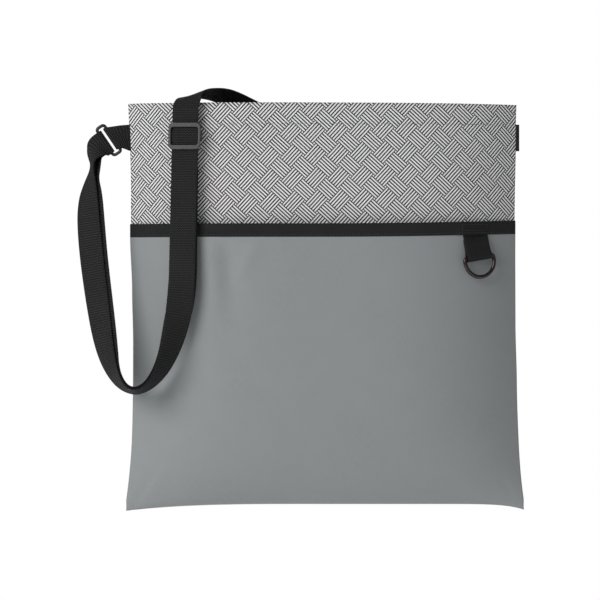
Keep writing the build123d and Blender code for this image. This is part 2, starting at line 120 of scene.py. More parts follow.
# ---- materials ----
class Graph:
    """Short ways to add the nodes of one material."""

    def __init__(self, name):
        self.material = bpy.data.materials.new(name)
        self.material.use_nodes = True
        self.tree = self.material.node_tree
        self.shader = self.tree.nodes["Principled BSDF"]
        self.uv = self.node("ShaderNodeTexCoord").outputs["UV"]
        self.place = self.node("ShaderNodeTexCoord").outputs["Object"]

    def node(self, kind, **settings):
        made = self.tree.nodes.new(kind)
        for key, value in settings.items():
            setattr(made, key, value)
        return made

    def put(self, socket, value):
        if isinstance(value, bpy.types.NodeSocket):
            self.tree.links.new(value, socket)
        else:
            socket.default_value = value

    def math(self, operation, *values, clamp=False):
        made = self.node("ShaderNodeMath", operation=operation, use_clamp=clamp)
        for socket, value in zip(made.inputs, values):
            self.put(socket, value)
        return made.outputs[0]

    def noise(self, scale, detail=3.0, rough=0.5, vector=None, stretch=(1, 1, 1)):
        scaled = self.node("ShaderNodeVectorMath", operation="MULTIPLY")
        self.put(scaled.inputs[0], self.uv if vector is None else vector)
        scaled.inputs[1].default_value = stretch
        made = self.node("ShaderNodeTexNoise")
        self.put(made.inputs["Vector"], scaled.outputs[0])
        made.inputs["Scale"].default_value = scale
        made.inputs["Detail"].default_value = detail
        made.inputs["Roughness"].default_value = rough
        return made.outputs["Fac"]

    def span(self, value, low, high, to_low, to_high):
        made = self.node("ShaderNodeMapRange")
        for socket, entry in zip(made.inputs, (value, low, high, to_low, to_high)):
            self.put(socket, entry)
        return made.outputs[0]

    def blend(self, factor, first, second):
        made = self.node("ShaderNodeMix", data_type="RGBA")
        self.put(made.inputs[0], factor)
        self.put(made.inputs[6], first)
        self.put(made.inputs[7], second)
        return made.outputs[2]

    def bump(self, height, distance, strength=1.0):
        made = self.node("ShaderNodeBump")
        self.put(made.inputs["Height"], height)
        made.inputs["Distance"].default_value = distance
        made.inputs["Strength"].default_value = strength
        self.put(self.shader.inputs["Normal"], made.outputs[0])

    def split_uv(self):
        made = self.node("ShaderNodeSeparateXYZ")
        self.put(made.inputs[0], self.uv)
        return made.outputs[0], made.outputs[1]

    def finish(self, **sockets):
        for name, value in sockets.items():
            self.put(self.shader.inputs[name.replace("_", " ")], value)
        return self.material


WEAVE_PITCH = 15.2 * MM  # one printed strand to the next
WEAVE_TURN = math.radians(47.2)  # the print sits a little askew on the cloth
WEAVE_CENTRE = (2.1 * MM, -37.7 * MM)  # middle of one block that runs down to the right
STRAND_HALF = 0.453  # half of a strand with its dark edge, in pitches
LINE_PITCH = 0.172  # from one light line to the next, in pitches
LINE_REACH = 0.387  # where the outermost light line ends, in pitches
INK = (0.038, 0.038, 0.040, 1)
PAPER = (0.66, 0.66, 0.66, 1)


def basket_print():
    """Light lines in a basket weave of slanting strands, on near-black."""
    g = Graph("printed_cloth")
    u, v = g.split_uv()
    x, z = g.math("SUBTRACT", u, WEAVE_CENTRE[0]), g.math("SUBTRACT", v, WEAVE_CENTRE[1])
    cos_turn, sin_turn = math.cos(WEAVE_TURN) / WEAVE_PITCH, math.sin(WEAVE_TURN) / WEAVE_PITCH
    rising = g.math("ADD", g.math("MULTIPLY", x, cos_turn), g.math("MULTIPLY", z, sin_turn))
    falling = g.math("SUBTRACT", g.math("MULTIPLY", z, cos_turn), g.math("MULTIPLY", x, sin_turn))

    def cell(value):
        index = g.math("FLOOR", g.math("ADD", value, 0.5))
        return index, g.math("ABSOLUTE", g.math("SUBTRACT", value, index))

    def lines(offset):
        near = g.math("PINGPONG", offset, LINE_PITCH / 2)
        light = g.math("LESS_THAN", near, LINE_PITCH / 4)
        return g.math("MULTIPLY", light, g.math("LESS_THAN", offset, LINE_REACH))

    i, a = cell(rising)
    j, b = cell(falling)
    odd = g.math("GREATER_THAN", g.math("PINGPONG", g.math("ADD", i, j), 1.0), 0.5)
    in_falling = g.math("LESS_THAN", a, STRAND_HALF)  # strands that run down to the right
    in_rising = g.math("LESS_THAN", b, STRAND_HALF)
    both = g.math("MULTIPLY", in_falling, in_rising)
    rising_on_top = g.math("MULTIPLY", both, odd)
    rising_only = g.math("MULTIPLY", in_rising, g.math("SUBTRACT", 1.0, in_falling))
    shows_rising = g.math("ADD", rising_on_top, rising_only)
    shows_falling = g.math("MULTIPLY", in_falling, g.math("SUBTRACT", 1.0, shows_rising))
    dot = g.math("MULTIPLY", g.math("SUBTRACT", 1.0, in_falling), g.math("SUBTRACT", 1.0, in_rising))
    on_rising = g.math("MULTIPLY", shows_rising, lines(b))
    on_falling = g.math("MULTIPLY", shows_falling, lines(a))
    light = g.math("ADD", g.math("ADD", on_rising, on_falling), dot, clamp=True)
    grain = g.span(g.noise(900, 2), 0.3, 0.7, 0.90, 1.05)
    tinted = g.node("ShaderNodeVectorMath", operation="SCALE")
    g.put(tinted.inputs[0], g.blend(light, INK, PAPER))
    g.put(tinted.inputs["Scale"], grain)
    weave = g.math("ADD", g.noise(1400, 1, stretch=(1, 0.25, 1)), g.noise(1400, 1, stretch=(0.25, 1, 1)))
    g.bump(weave, 0.05 * MM, 0.5)
    return g.finish(Base_Color=tinted.outputs[0], Roughness=0.85, Specular_IOR_Level=0.25)


def plain_cloth(name, colour, variation, sheen):
    """A smooth plain-weave cloth with fine crossing threads and slow changes of tone."""
    g = Graph(name)
    threads = g.math("ADD", g.noise(1500, 1, stretch=(1, 0.12, 1)), g.noise(1500, 1, stretch=(0.12, 1, 1)))
    slow = g.noise(16, 3)
    tone = g.math("ADD", g.math("MULTIPLY", threads, 0.5), g.math("MULTIPLY", slow, 0.5))
    factor = g.span(tone, 0.3, 0.7, 1 - variation, 1 + variation)
    tinted = g.node("ShaderNodeVectorMath", operation="SCALE")
    tinted.inputs[0].default_value = colour
    g.put(tinted.inputs["Scale"], factor)
    g.bump(threads, 0.06 * MM, 0.4)
    rough = g.span(g.noise(60, 2), 0.3, 0.7, 0.66, 0.78)
    return g.finish(Base_Color=tinted.outputs[0], Roughness=rough, Sheen_Weight=sheen, Sheen_Roughness=0.5)


def webbing(name, colour, rib, pair, depth, painted_rib_light=(0.55, 1.35)):
    """Woven strapping: short slanting ribs that change direction from one column to the next, with painted
    highlight on the ribs' crests and painted shade in their grooves.
    """
    g = Graph(name)
    u, v = g.split_uv()
    zigzag = g.math("PINGPONG", u, pair)
    phase = g.math("ADD", g.math("DIVIDE", v, rib), g.math("DIVIDE", zigzag, rib))
    ribs = g.math("SINE", g.math("MULTIPLY", phase, 2 * math.pi))
    columns = g.math("SINE", g.math("MULTIPLY", g.math("DIVIDE", u, pair), 2 * math.pi))
    height = g.math("ADD", g.math("MULTIPLY", ribs, 0.6), g.math("MULTIPLY", columns, 0.3))
    height = g.math("ADD", height, g.math("MULTIPLY", g.noise(1200, 2), 0.5))
    g.bump(height, depth)
    # the ribs' colour is painted lighter on their crests and darker in their grooves: painted highlight and
    # painted shade that follow the bump
    factor = g.math("ADD", g.span(ribs, -1, 1, *painted_rib_light), g.span(g.noise(40, 3), 0.3, 0.7, -0.12, 0.12))
    tinted = g.node("ShaderNodeVectorMath", operation="SCALE")
    tinted.inputs[0].default_value = colour
    g.put(tinted.inputs["Scale"], factor)
    return g.finish(Base_Color=tinted.outputs[0], Roughness=0.78, Specular_IOR_Level=0.22)


def plastic(name, colour, edge_glint_colour, rough, coat):
    """Moulded plastic with lighter, patchy painted highlights on its rounded edges and a faint flow texture.
    """
    g = Graph(name)
    geometry = g.node("ShaderNodeNewGeometry")
    # the lighter colour on convex edges, found from pointiness and broken up by noise, is a painted edge
    # highlight
    edge_glint = g.span(geometry.outputs["Pointiness"], 0.52, 0.60, 0.0, 1.0)
    patchy_glint = g.math("MULTIPLY", edge_glint, g.noise(500, 3, vector=g.place), clamp=True)
    colour_out = g.blend(patchy_glint, colour, edge_glint_colour)
    roughness = g.span(g.noise(300, 3, vector=g.place), 0.3, 0.7, rough - 0.05, rough + 0.06)
    g.bump(g.noise(900, 2, vector=g.place), 0.03 * MM, 0.4)
    return g.finish(
        Base_Color=colour_out, Roughness=roughness, Specular_IOR_Level=0.35,
        Coat_Weight=coat, Coat_Roughness=0.08,
    )


def thread(name, colour):
    g = Graph(name)
    twist = g.math("SINE", g.math("MULTIPLY", g.math("ADD", *g.split_uv()), 2 * math.pi / (0.5 * MM)))
    g.bump(twist, 0.05 * MM)
    factor = g.span(twist, -1, 1, 0.75, 1.2)
    tinted = g.node("ShaderNodeVectorMath", operation="SCALE")
    tinted.inputs[0].default_value = colour
    g.put(tinted.inputs["Scale"], factor)
    return g.finish(Base_Color=tinted.outputs[0], Roughness=0.6)


PRINTED = basket_print()
GREY = plain_cloth("grey_cloth", (0.178, 0.190, 0.194), 0.11, 0.12)
BINDING = webbing("binding_tape", (0.0105, 0.0105, 0.0115), 0.9 * MM, 1.1 * MM, 0.10 * MM)
WEBBING = webbing("webbing", (0.0098, 0.0098, 0.0104), 2.3 * MM, 1.3 * MM, 0.45 * MM, (0.0, 2.7))
TAB_TAPE = webbing("tab_tape", (0.0088, 0.0088, 0.0094), 1.0 * MM, 1.2 * MM, 0.12 * MM)
RING_PLASTIC = plastic("ring_plastic", (0.011, 0.0024, 0.0032, 1), (0.035, 0.008, 0.010, 1), 0.24, 0.25)
BLACK_PLASTIC = plastic("black_ring_plastic", (0.009, 0.006, 0.009, 1), (0.02, 0.015, 0.02, 1), 0.34, 0.15)
SLIDER_PLASTIC = plastic("slider_plastic", (0.021, 0.018, 0.021, 1), (0.055, 0.047, 0.050, 1), 0.40, 0.05)
BLACK_THREAD = thread("black_thread", (0.022, 0.022, 0.023))
GREY_THREAD = thread("grey_thread", (0.17, 0.18, 0.185))


# ---- meshes ----
def build_mesh(name, points, faces, uvs, material, body=None):
    """A smooth closed mesh with one UV pair to a vertex."""
    mesh = bpy.data.meshes.new(name)
    mesh.from_pydata([tuple(p) for p in points], [], faces)
    layer = mesh.uv_layers.new(name="weave")
    index = np.zeros(len(mesh.loops), int)
    mesh.loops.foreach_get("vertex_index", index)
    layer.data.foreach_set("uv", np.asarray(uvs, float)[index].ravel())
    work = bmesh.new()
    work.from_mesh(mesh)
    bmesh.ops.recalc_face_normals(work, faces=work.faces)
    work.to_mesh(mesh)
    work.free()
    mesh.polygons.foreach_set("use_smooth", [True] * len(mesh.polygons))
    mesh.materials.append(material)
    made = bpy.data.objects.new(name, mesh)
    bpy.context.scene.collection.objects.link(made)
    if body:
        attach(made, body)
    return made


def grid_faces(rows, columns, first=0, flip=False):
    faces = []
    for r in range(rows - 1):
        for c in range(columns - 1):
            a = first + r * columns + c
            quad = (a, a + 1, a + columns + 1, a + columns)
            faces.append(quad[::-1] if flip else quad)
    return faces


def grid_normals(grid):
    down = np.gradient(grid, axis=0)
    across = np.gradient(grid, axis=1)
    normal = np.cross(down, across)
    return normal / np.maximum(np.linalg.norm(normal, axis=2, keepdims=True), 1e-12)


def shell(name, grid, uvs, thick, side, material, body="bag"):
    """Cloth of one thickness, from a grid of points on its outer face; side is -1 on the front of the bag."""
    rows, columns = grid.shape[:2]
    normal = grid_normals(grid)
    normal *= np.sign(normal[rows // 2, columns // 2, 1]) * side
    inner = grid - normal * thick
    count = rows * columns
    faces = grid_faces(rows, columns) + grid_faces(rows, columns, count, True)
    rim = [c for c in range(columns)]
    rim += [r * columns + columns - 1 for r in range(1, rows)]
    rim += [(rows - 1) * columns + c for c in range(columns - 2, -1, -1)]
    rim += [r * columns for r in range(rows - 2, 0, -1)]
    for a, b in zip(rim, rim[1:] + rim[:1]):
        faces.append((b, a, a + count, b + count))
    points = np.concatenate([grid.reshape(-1, 3), inner.reshape(-1, 3)])
    both = np.concatenate([uvs.reshape(-1, 2)] * 2)
    return build_mesh(name, points, faces, both, material, body)


# ---- the bag's surfaces ----
LEFT_TRIM = (
    (0, 0.9), (-60, 0.8), (-125, 1.6), (-175, -0.2), (-225, -1.2), (-310, -1.2), (-366, -0.6), (-376, -2.0),
)
RIGHT_TRIM = (
    (0, -1.1), (-60, 0.2), (-125, 0.4), (-205, 0.6), (-260, 1.7), (-320, 2.3), (-366, 2.4), (-376, 1.0),
)


def eased(z, knots):
    """A smooth curve through given (height, value) knots in millimetres, in metres."""
    heights = [k[0] * MM for k in knots][::-1]
    values = [k[1] * MM for k in knots][::-1]
    share = np.interp(z, heights, np.arange(len(heights), dtype=float))
    low = np.clip(np.floor(share).astype(int), 0, len(values) - 2)
    t = share - low
    t = t * t * (3 - 2 * t)
    values = np.array(values)
    return values[low] * (1 - t) + values[low + 1] * t


def half_width(z):
    flare = MOUTH_FLARE * np.maximum(0, 1 + z / MOUTH_REACH) ** 2
    return WAIST_HALF + flare + CORNER_FLARE * (-z / HEIGHT) ** 10


def depth_at(z, mid, mouth):
    opening = (mid - mouth) * np.maximum(0, 1 + z / MOUTH_REACH) ** 2
    return (mid - opening) * np.maximum(0, 1 - (-z / HEIGHT) ** 6) ** 0.6


def pocket_extra(z):
    return POCKET_GAP * (1 - (-z / HEIGHT) ** 12) + CLOTH


def mound(x, z, at, size, lean=0.0):
    """A smooth bump of height 1 about a place; at and size are in millimetres, lean in degrees."""
    dx, dz = x / MM - at[0], z / MM - at[1]
    c, s = math.cos(math.radians(lean)), math.sin(math.radians(lean))
    p, q = dx * c + dz * s, dz * c - dx * s
    return np.exp(-((p / size[0]) ** 2) - (q / size[1]) ** 2)


def slow_waves(x, z, seed, reach):
    """Gentle unevenness of hanging cloth, from -1 to 1."""
    chance = random.Random(seed)
    total = 0
    for _ in range(7):
        turn, scale = chance.uniform(0, math.pi), chance.uniform(0.6, 1.6) * reach
        wave = (x * math.cos(turn) + z * math.sin(turn)) / scale
        total = total + np.sin(2 * math.pi * wave + chance.uniform(0, 6.28)) / 7
    return total


def seam_puckers(x, z, edge, seed):
    """Small gathers where stitching pulls the cloth in at the side seams."""
    near = np.exp(-np.abs(edge - np.abs(x)) / (9 * MM))
    return near * np.sin(2 * math.pi * z / (13 * MM) + 2.5 * slow_waves(x * 0, z, seed, 60 * MM))


def front_folds(x, z):
    edge = half_width(z)
    out = 0.35 * slow_waves(x, z, 3, 90 * MM) + 0.22 * seam_puckers(x, z, edge, 5)
    out -= 1.1 * mound(x, z, (-131, 0), (22, 16))  # the strap presses the rim back
    return out * MM


def pocket_folds(x, z):
    edge = half_width(z)
    out = 0.6 * slow_waves(x, z, 11, 110 * MM) + 0.32 * seam_puckers(x, z, edge, 7)
    out += 2.2 * mound(x, z, (-103, -165), (9, 42), 3)  # soft ridge beside the strap
    out -= 1.7 * mound(x, z, (-86, -160), (9, 34), 6)
    out += 1.0 * mound(x, z, (-70, -146), (7, 26), -28)
    out -= 1.4 * mound(x, z, (170, -139), (10, 9))  # the cloth dips beside the ring's tab
    out += 0.9 * mound(x, z, (163, -152), (12, 8), 30)
    out -= 0.9 * mound(x, z, (172, -290), (9, 4), 20)
    out -= 0.6 * mound(x, z, (175, -318), (9, 4), 15)
    out -= 1.5 * mound(x, z, (-168, -360), (4, 20), -40)  # the left corner is pulled
    out += 0.8 * mound(x, z, (-158, -352), (5, 20), -38)
    out -= 0.8 * mound(x, z, (174, -362), (4, 16), 35)
    fade = np.clip((-z - 0.122) / 0.012, 0, 1)
    return out * fade * MM


def back_folds(x, z):
    out = 0.6 * slow_waves(x, z, 23, 120 * MM) + 0.25 * seam_puckers(x, z, half_width(z), 29)
    out -= 0.9 * mound(x, z, (-150, -350), (5, 24), -40)
    out += 1.0 * mound(x, z, (60, -180), (8, 70), 8)
    return out * MM


def body_grid(side, tops, mid, mouth, folds, columns, rows, extra=None, wrap=0.0):
    """Points and UVs over one panel: u runs seam to seam, and rows follow heights from top to foot."""
    u = np.sin(np.linspace(-1, 1, columns) * math.pi / 2) * 0.35 + np.linspace(-1, 1, columns) * 0.65
    top, foot = tops
    level = np.linspace(0, 1, rows)
    level = level * 0.8 + 0.2 * (1 - (1 - level) ** 3)
    z = top + (foot - top) * level
    z, u = np.meshgrid(z, u, indexing="ij")
    trim = np.where(u < 0, eased(z, LEFT_TRIM), eased(z, RIGHT_TRIM)) * u * u
    x = u * (half_width(z) + trim + wrap)
    depth = depth_at(z, mid, mouth) + CLOTH + (extra(z) if extra is not None else 0)
    depth = depth * (1 - np.abs(u) ** SIDE_POWER)
    depth = depth + folds(x, z) * (1 - np.abs(u) ** 8)
    y = side * (SEAM_HALF_GAP + np.maximum(depth, 0))
    low = np.clip(-z / HEIGHT, 0, 1) ** 12
    ear = 6.0 * np.clip(-(x + 0.02) / 0.162, 0, 1.2) ** 3 + 4.2 * np.clip(x / 0.184, 0, 1.1) ** 12
    rim = np.maximum(0, 1 + z / MOUTH_REACH) ** 4
    lift = 0.4 * (1 - u * u) - 0.6 * u - 0.5
    shown_z = z + (-ear * low + lift * rim + 1.2 * low) * MM
    grid = np.stack([x, y, shown_z], axis=2)
    step = np.linalg.norm(np.diff(grid[:, :, :2], axis=1), axis=2)
    length = np.concatenate([np.zeros((rows, 1)), np.cumsum(step, axis=1)], axis=1)
    length -= length[:, columns // 2][:, None]
    return grid, np.stack([length, shown_z], axis=2)


grid, uvs = body_grid(-1, (0, -HEIGHT), FRONT_MID, FRONT_MOUTH, front_folds, 181, 150)
front_panel = shell("front_panel_cloth", grid, uvs, CLOTH, -1, PRINTED)
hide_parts("front_panel")

grid, uvs = body_grid(1, (-BACK_DROP, -HEIGHT), BACK_MID, BACK_MOUTH, back_folds, 161, 150)
back_panel = shell("back_panel_cloth", grid, uvs, CLOTH, 1, GREY)
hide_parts("back_panel")

POCKET_WRAP = 0.9 * MM
pocket_shape = dict(extra=pocket_extra, wrap=POCKET_WRAP)
grid, uvs = body_grid(
    -1, (POCKET_TOP, -HEIGHT), FRONT_MID, FRONT_MOUTH, pocket_folds, 241, 220, **pocket_shape
)
pocket_panel = shell("pocket_panel_cloth", grid, uvs, CLOTH, -1, GREY)
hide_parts("pocket_panel")


def hem_grid(side, top, mid, mouth, folds, inset):
    def shrink(z):
        return -inset + 0 * z

    return body_grid(side, (top, top - HEM_HEIGHT), mid, mouth, folds, 121, 14, extra=shrink, wrap=-3 * MM)


grid, uvs = hem_grid(-1, -0.4 * MM, FRONT_MID, FRONT_MOUTH, front_folds, 1.05 * MM)
front_hem = shell("front_hem_cloth", grid, uvs, CLOTH, -1, PRINTED)
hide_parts("front_hem")
grid, uvs = hem_grid(1, -BACK_DROP - 0.4 * MM, BACK_MID, BACK_MOUTH, back_folds, 1.05 * MM)
back_hem = shell("back_hem_cloth", grid, uvs, CLOTH, 1, GREY)
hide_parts("back_hem")


# ---- binding folded over the pocket's edge ----
def binding_rise(x):
    """The binding climbs a little towards the right seam."""
    return 3.2 * MM * np.clip(x / 0.18, 0, 1) ** 2


TAB_SEAT = 140.6 * MM  # where the D-ring's tab comes out from under the binding
TAB_BULGE, TAB_BULGE_HALF = 2.2 * MM, 15 * MM


def tab_bulge(x):
    """How far the binding's foot stands out over the D-ring's tab."""
    return TAB_BULGE * np.exp(-(((x - TAB_SEAT) / TAB_BULGE_HALF) ** 6))


def binding_frame(x, level, proud):
    """A point on the binding's outside; level is 0 at its top edge and 1 at its foot."""
    z = BINDING_TOP + (BINDING_FOOT - BINDING_TOP) * level
    edge = half_width(z) + np.where(x < 0, eased(z, LEFT_TRIM), eased(z, RIGHT_TRIM)) + POCKET_WRAP - 0.1 * MM
    share = np.clip(np.abs(x / edge), 0, 1)
    depth = depth_at(z, FRONT_MID, FRONT_MOUTH) + CLOTH + pocket_extra(z)
    y = -SEAM_HALF_GAP - depth * (1 - share**SIDE_POWER) - proud
    return np.stack([x, y, z + binding_rise(x)], axis=-1)


def binding_grid():
    """A tape's outside, its fold and its inside, as one closed loop of points at each place along it."""
    edge = half_width(BINDING_TOP) + POCKET_WRAP - 0.1 * MM
    left = -edge - eased(np.array(-0.118), LEFT_TRIM)
    right = edge + eased(np.array(-0.118), RIGHT_TRIM)
    x = np.linspace(left, right, 241)
    over_tab = tab_bulge(x)
    loop = []
    profile = [(1.0, 0.55), (0.97, 0.95), (0.85, 1.0), (0.72, 0.95), (0.55, 1.0), (0.35, 1.0), (0.14, 1.0)]
    profile += [(0.04, 0.85), (0.0, 0.35), (0.0, -0.7), (0.05, -1.35), (0.3, -1.5), (0.7, -1.5), (1.0, -1.4)]
    profile += [(1.0, -1.0), (0.3, -0.9), (0.3, 0.0), (1.0, 0.0)]
    for level, proud in profile:
        thick = proud * BINDING_CLOTH + (over_tab * level if proud > 0 else 0)
        loop.append(binding_frame(x, level + 0 * x, thick))
    loop = np.stack(loop, axis=0)
    steps = np.linalg.norm(np.diff(loop[:, 120], axis=0), axis=1)
    around = np.concatenate([[0], np.cumsum(steps)])
    uv = np.stack(np.broadcast_arrays(x[None, :], around[:, None]), axis=2)
    return loop, uv


def closed_band(name, loop, uvs, material, body="bag"):
    """A tube with the given loops of points; rows go round it and columns along it."""
    rows, columns = loop.shape[:2]
    faces = grid_faces(rows, columns)
    faces += [((rows - 1) * columns + c, (rows - 1) * columns + c + 1, c + 1, c) for c in range(columns - 1)]
    faces.append([r * columns for r in range(rows)])
    faces.append([r * columns + columns - 1 for r in range(rows - 1, -1, -1)])
    return build_mesh(name, loop.reshape(-1, 3), faces, uvs.reshape(-1, 2), material, body)


loop, uvs = binding_grid()
pocket_binding = closed_band("pocket_binding_tape", loop, uvs[:, :, ::-1], BINDING)
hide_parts("pocket_binding")


# ---- seam tapes ----
def strip(name, centre, across, normal, width, thick, material, slot, body, widths=None, arch=0.0):
    """A woven strip: centre points, its width and face directions at each, and a slightly rounded section."""
    centre, across, normal = (np.asarray(v, float) for v in (centre, across, normal))
    steps = np.linalg.norm(np.diff(centre, axis=0), axis=1)
    along = np.concatenate([[0], np.cumsum(steps)])
    shares = [-1, -0.97, -0.8, -0.45, 0, 0.45, 0.8, 0.97, 1]
    section = [(s, 0.5 if abs(s) < 0.99 else 0.22) for s in shares]
    section += [(s, -0.5 if abs(s) < 0.99 else -0.22) for s in shares[::-1]]
    loops, uvs = [], []
    half = (np.full(len(centre), width) if widths is None else np.asarray(widths)) / 2
    for s, n in section:
        lift = n * thick - arch * s * s
        loops.append(centre + across * (half * s)[:, None] + normal * lift)
        uvs.append(np.stack([half * s + (0 if n > 0 else 3 * MM), along], axis=1))
    return closed_band(name, np.stack(loops), np.stack(uvs), material, body)


def plain_run(points, across, normal):
    count = len(points)
    return points, [across] * count, [normal] * count


for node, side in (("left_seam_tape", -1), ("right_seam_tape", 1)):
    heights = np.linspace(-46 * MM, -HEIGHT + 20 * MM, 40)
    points = [(side * (half_width(z) - 8 * MM), 0, z) for z in heights]
    made = strip(
        node + "_cloth", *plain_run(points, (1, 0, 0), (0, 1, 0)),
        9 * MM, 1.0 * MM, BINDING, "binding_tape", "bag",
    )
    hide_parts(node)
points = [(x, 0, -HEIGHT + 6 * MM) for x in np.linspace(-176 * MM, 178 * MM, 60)]
made = strip(
    "bottom_seam_tape_cloth", *plain_run(points, (0, 0, 1), (0, 1, 0)),
    8 * MM, 1.0 * MM, BINDING, "binding_tape", "bag",
)
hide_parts("bottom_seam_tape")


# ---- strap ----
RUN_FOOT, RUN_TOP = (-131.4, -47.0, -165.0), (-128.2, -34.0, -4.0)
RUN_TURN = toward(-12)
ring_front = (STRAP_BAR + Vector((0, -RING_PLY, 0))) / MM
ring_back = (STRAP_BAR + Vector((0, RING_PLY, 0))) / MM
LOOP_STATIONS = [
    station(ring_front, -RING_ALONG),
    station(ring_front - RING_ACROSS * 3, -RING_ALONG),
    station((-212.2, -6.0, -42.6), (-0.42, 0.50, 0.75)),
    station((-215.4, -6.6, -50.5), (-0.15, 0.88, 0.45)),
    station((-217.0, -8.0, -60.0), (-0.08, 1.0, 0.08)),
    station((-218.8, -10.5, -73.0), (-0.42, 0.90, 0.0)),
    station((-220.0, -14.5, -89.0), toward(137)),
    station((-219.6, -18.0, -110.0), toward(150)),
    station((-216.0, -22.5, -147.0), toward(154)),
    station((-209.0, -27.5, -198.0), toward(147)),
    station((-204.0, -30.5, -228.0), toward(135)),
    station((-197.5, -33.5, -249.0), toward(120) - Vector((0, 0, 0.06))),
    station((-188.5, -36.5, -263.5), toward(106) - Vector((0, 0, 0.14))),
    station((-176.0, -40.0, -270.0), toward(90) - Vector((0, 0, 0.20))),
    station((-162.5, -44.0, -265.5), toward(76) - Vector((0, 0, 0.14))),
    station((-151.0, -48.0, -252.0), toward(60) - Vector((0, 0, 0.06))),
    station((-142.6, -50.0, -233.0), toward(46)),
    station((-137.0, -50.2, -212.0), toward(30)),
    station((-132.8, -48.9, -188.0), toward(8)),
]
run = Vector(RUN_TOP) - Vector(RUN_FOOT)
RUN_ALONG = run.normalized()
RUN_ACROSS = (RUN_TURN - RUN_ALONG * RUN_TURN.dot(RUN_ALONG)).normalized()
RUN_OUT = RUN_ACROSS.cross(RUN_ALONG)
RUN_STATIONS = [station(Vector(RUN_FOOT) + run * s, RUN_TURN) for s in (0, 0.06, 0.3, 0.6, 0.94, 1)]
TOP_STATIONS = [
    station((-126.4, -31.2, 3.4), (0.90, -0.36, 0.22)),
    station((-119.5, -23.0, 8.6), (0.78, -0.55, 0.28)),
    station((-110.0, -10.5, 10.0), (0.66, -0.68, 0.32)),
    station((-98.0, 2.5, 9.4), (0.56, -0.72, 0.40)),
    station((-86.0, 14.6, 5.4), (0.48, -0.70, 0.50)),
    station((-72.0, 24.1, -4.6), (0.38, -0.40, 0.84)),
]
BACK_STATIONS = [
    station((-52.0, 27.4, -15.0), (0.42, -0.08, 0.90)),
    station((-25.0, 27.6, -26.0), (0.38, 0.0, 0.93)),
    station((10.0, 27.4, -35.5), (0.22, 0.0, 0.98)),
    station((50.0, 27.0, -41.0), (0.06, 0.0, 1.0)),
    station((90.0, 25.2, -41.0), (-0.05, 0.0, 1.0)),
    station((122.0, 20.6, -38.0), (-0.10, 0.0, 1.0)),
    station((150.0, 13.8, -34.5), (-0.08, 0.0, 1.0)),
    station((170.0, 7.8, -32.5), (-0.03, 0.0, 1.0)),
    station((183.0, 2.2, -31.8), (0.0, 0.0, 1.0)),
]
RETURN_LEAD = [
    station(ring_back, -RING_ALONG),
    station(ring_back - RING_ACROSS * 4.8, -RING_ALONG),
    station((-211.5, 0.9, -45.2), (-0.61, 0.45, 0.72)),
    station((-212.3, -0.6, -52.0), (-0.30, 0.79, 0.51)),
    station((-212.2, -5.4, -61.4), (-0.18, 0.96, 0.12)),
]
STRAP_STATIONS = LOOP_STATIONS + RUN_STATIONS + TOP_STATIONS + BACK_STATIONS
LAYER_GAP, RETURN_SHIFT = 3.7 * MM, 0.9 * MM
LOOP_GAP, LOOP_GAP_SPAN = 2.5 * MM, range(8, 17)  # closer round the bottom of the loop
ARM_SHIFT, ARM_SPAN = -3.2 * MM, range(6, 11)  # the layers hang a little apart on the outer arm


def outward_at(stations, n):
    last = len(stations) - 1
    along = (stations[min(n + 1, last)][0] - stations[max(n - 1, 0)][0]).normalized()
    return stations[n][1].cross(along).normalized()


def return_station(n):
    place, across = STRAP_STATIONS[n]
    gap = LOOP_GAP if n in LOOP_GAP_SPAN else LAYER_GAP
    shift = ARM_SHIFT if n in ARM_SPAN else RETURN_SHIFT
    return place - outward_at(STRAP_STATIONS, n) * gap + across * shift, across


def nurbs_points(name, points):
    """The points of a NURBS line through given control points."""
    data = bpy.data.curves.new(name, "CURVE")
    data.dimensions = "3D"
    data.resolution_u = 10
    spline = data.splines.new("NURBS")
    spline.points.add(len(points) - 1)
    for control, place in zip(spline.points, points):
        control.co = (*place, 1)
    spline.order_u = 3
    spline.use_endpoint_u = True
    spline.resolution_u = 10
    holder = bpy.data.objects.new(name, data)
    bpy.context.scene.collection.objects.link(holder)
    bpy.context.view_layer.update()
    evaluated = holder.evaluated_get(bpy.context.evaluated_depsgraph_get())
    mesh = bpy.data.meshes.new_from_object(evaluated)
    found = np.array([v.co for v in mesh.vertices])
    bpy.data.objects.remove(holder)
    bpy.data.meshes.remove(mesh)
    bpy.data.curves.remove(data)
    return found


EDGE_LEVER = 10 * MM  # how far out the guide line runs that sets a ribbon's twist
JOIN_POINTS = 14  # over which a ribbon eases from a set first edge to its own twist


def ribbon_frames(name, stations, first_across=None):
    """Centre, width direction and face direction along a twisting ribbon; its first edge may be set."""
    centre = nurbs_points(name + "_centre", [p for p, _ in stations])
    edge = nurbs_points(name + "_edge", [p + a * EDGE_LEVER for p, a in stations])
    along = np.gradient(centre, axis=0)
    along /= np.linalg.norm(along, axis=1, keepdims=True)
    across = edge - centre
    across -= along * np.sum(across * along, axis=1, keepdims=True)
    across /= np.linalg.norm(across, axis=1, keepdims=True)
    if first_across is not None:
        share = np.clip(1 - np.arange(len(centre)) / JOIN_POINTS, 0, 1)[:, None]
        across = across * (1 - share) + np.array(first_across) * share
        across /= np.linalg.norm(across, axis=1, keepdims=True)
    normal = np.cross(across, along)
    return centre, across, normal / np.linalg.norm(normal, axis=1, keepdims=True)


def ring_widths(centre):
    """The webbing gathers where it passes round the ring."""
    steps = np.concatenate([[0], np.cumsum(np.linalg.norm(np.diff(centre, axis=0), axis=1))])
    return WEB_WIDTH - (WEB_WIDTH - RING_FOLD_WIDTH) * np.exp(-((steps / (7 * MM)) ** 2))


